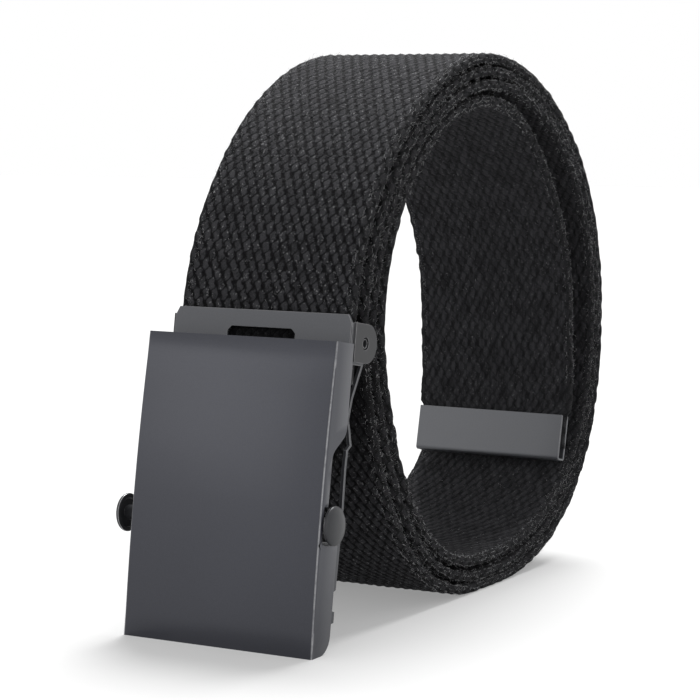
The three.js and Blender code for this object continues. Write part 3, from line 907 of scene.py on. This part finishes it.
def add_pin(finish):
    """The hinge pin: a rivet with a blind bore in each end."""
    low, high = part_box("hinge_pin")
    pin = new_primitive(
        "primitive_cylinder_add",
        "buckle_pin",
        vertices=ROUND_SIDES // 2,
        radius=(high.z - low.z) / 2,
        depth=high.x - low.x,
        location=(low + high) / 2,
        rotation=(0, math.pi / 2, 0),
        end_fill_type="NGON",
    )
    choose(pin)
    bpy.ops.object.transform_apply(location=True, rotation=True, scale=True)
    for side in (-1, 1):
        edit(pin, "FACE", lambda face, side=side: face.normal.x * side > 0.9)
        bpy.ops.mesh.inset(thickness=PIN_WALL, depth=0)
        inward = {"value": (-side * PIN_BORE_DEPTH, 0, 0)}
        bpy.ops.mesh.extrude_region_move(TRANSFORM_OT_translate=inward)
        close_edit()
    round_edges(pin, PIN_EDGE_ROUND)
    smooth(pin, SMOOTH_ROUND)
    mark_edges(pin, FINE_STRIP)
    dress(pin, "belt", finish, "small_metal", "hinge_pin")


def add_bevelled(node, name, body, finish, slot, width):
    """A copy of a CAD node with its flat faces joined and its edges rounded."""
    piece = piece_from(name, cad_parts[node].data.copy())
    edit(piece, "VERT", lambda vertex: True)
    bpy.ops.mesh.remove_doubles(threshold=DOUBLES)
    bpy.ops.mesh.select_all(action="SELECT")
    bpy.ops.mesh.dissolve_limited(angle_limit=LEVEL)
    close_edit()
    round_edges(piece, width, FAIRLY_SHARP)
    smooth(piece, SMOOTH_METAL)
    for face in piece.data.polygons:
        if face.area > FLAT_FACE:
            face.use_smooth = False
    mark_edges(piece)
    dress(piece, body, finish, slot, node)


webbing_low, webbing_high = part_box("webbing")
webbing_width = webbing_high.x - webbing_low.x
webbing_middle = (webbing_high.x + webbing_low.x) / 2
column_width = (webbing_width - 2 * SELVEDGE) / WARP_COLUMNS
cover_low, cover_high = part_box("cover")
cover_middle = (cover_low.x + cover_high.x) / 2
buckle_foot = Vector((webbing_middle, cover_low.y, 0))

black_cotton = cotton("black_cotton")
grey_lint = lint("grey_lint")
cover_paint = painted_metal("cover_paint", COVER_PAINT, roughness=0.33, wear_and_highlight=0.5)
# Painted light: the frame takes the cover's paint made lighter, with painted shade on its ears
lit_frame_paint = painted_metal("lit_frame_paint", LIT_FRAME_PAINT, roughness=0.36, wear_and_highlight=0.6, ear_shade=0.8)
tip_paint = painted_metal("tip_paint", TIP_PAINT, roughness=0.34, gloss=0.4, wear_and_highlight=0.2)
dark_paint = painted_metal("dark_paint", DARK_PAINT, roughness=0.38)

strap_places = add_webbing(black_cotton)
for i in range(LINT_PIECES):
    add_lint(f"strap_lint_{i + 1}", LINT_SEED + i, grey_lint, strap_places)
add_cover(cover_paint)
add_bar(dark_paint)
add_bevelled("frame", "buckle_frame", "belt", lit_frame_paint, "frame_metal", FRAME_EDGE_ROUND)
add_pin(dark_paint)
add_bevelled("clamp_jaw", "buckle_jaw", "jaw", dark_paint, "small_metal", SMALL_EDGE_ROUND)
add_bevelled("belt_tip", "strap_tip", "belt", tip_paint, "tip_metal", SMALL_EDGE_ROUND)

# Camera
forward = Vector((
    -math.sin(CAMERA_TURN) * math.cos(CAMERA_DIP),
    math.cos(CAMERA_TURN) * math.cos(CAMERA_DIP),
    -math.sin(CAMERA_DIP),
))
level = Vector((math.cos(CAMERA_TURN), math.sin(CAMERA_TURN), 0))
upright = level.cross(forward)
right = math.cos(CAMERA_ROLL) * level + math.sin(CAMERA_ROLL) * upright
up = math.cos(CAMERA_ROLL) * upright - math.sin(CAMERA_ROLL) * level
camera_data = bpy.data.cameras.new("camera")
camera_data.lens = CAMERA_LENS
camera_data.sensor_width = CAMERA_SENSOR
camera = bpy.data.objects.new("camera", camera_data)
bpy.context.scene.collection.objects.link(camera)
turn = Matrix((right, up, -forward)).transposed().to_4x4()
camera.matrix_world = Matrix.Translation(CAMERA_PLACE) @ turn
bpy.context.scene.camera = camera

# Floor
bpy.ops.mesh.primitive_plane_add(size=FLOOR_SIZE, location=(0, 0, 0))
floor = bpy.context.object
floor.name = "floor"
floor_finish = material(
    "floor_white",
    Base_Color=rgba(FLOOR_GREY),
    Roughness=1.0,
    Specular_IOR_Level=0.0,
    Emission_Color=rgba(WHITE),
    Emission_Strength=FLOOR_GLOW,
)[0]
floor.data.materials.append(floor_finish)

# Light: an even white studio, a broad lamp above, a tall one at the right and a soft one in front
world = bpy.data.worlds.new("studio")
bpy.context.scene.world = world
world.use_nodes = True
background = world.node_tree.nodes["Background"]
background.inputs["Color"].default_value = rgba(WHITE)
background.inputs["Strength"].default_value = 1.0
bpy.context.scene.view_settings.view_transform = "Standard"


def add_lamp(name, place, aim, size, power):
    """A flat lamp of a width and a height, turned to a place."""
    data = bpy.data.lights.new(name, "AREA")
    data.shape = "RECTANGLE"
    data.size, data.size_y = size
    data.energy = power
    lamp = bpy.data.objects.new(name, data)
    bpy.context.scene.collection.objects.link(lamp)
    lamp.location = place
    lamp.rotation_euler = (Vector(aim) - Vector(place)).to_track_quat("-Z", "Y").to_euler()


sun_data = bpy.data.lights.new("lamp_above", "SUN")
sun_data.energy = SUN_POWER
sun_data.angle = SUN_ANGLE
sun = bpy.data.objects.new("lamp_above", sun_data)
bpy.context.scene.collection.objects.link(sun)
sun.rotation_euler = SUN_COURSE.to_track_quat("-Z", "Y").to_euler()
add_lamp("lamp_right", place=(1.0, -0.5, 0.35), aim=(0, 0, 0.05), size=(0.1, 0.7), power=1.1)
add_lamp("lamp_front", place=(-0.74, -1.1, 0.4), aim=(0, -0.07, 0.05), size=(0.6, 0.4), power=2.1)
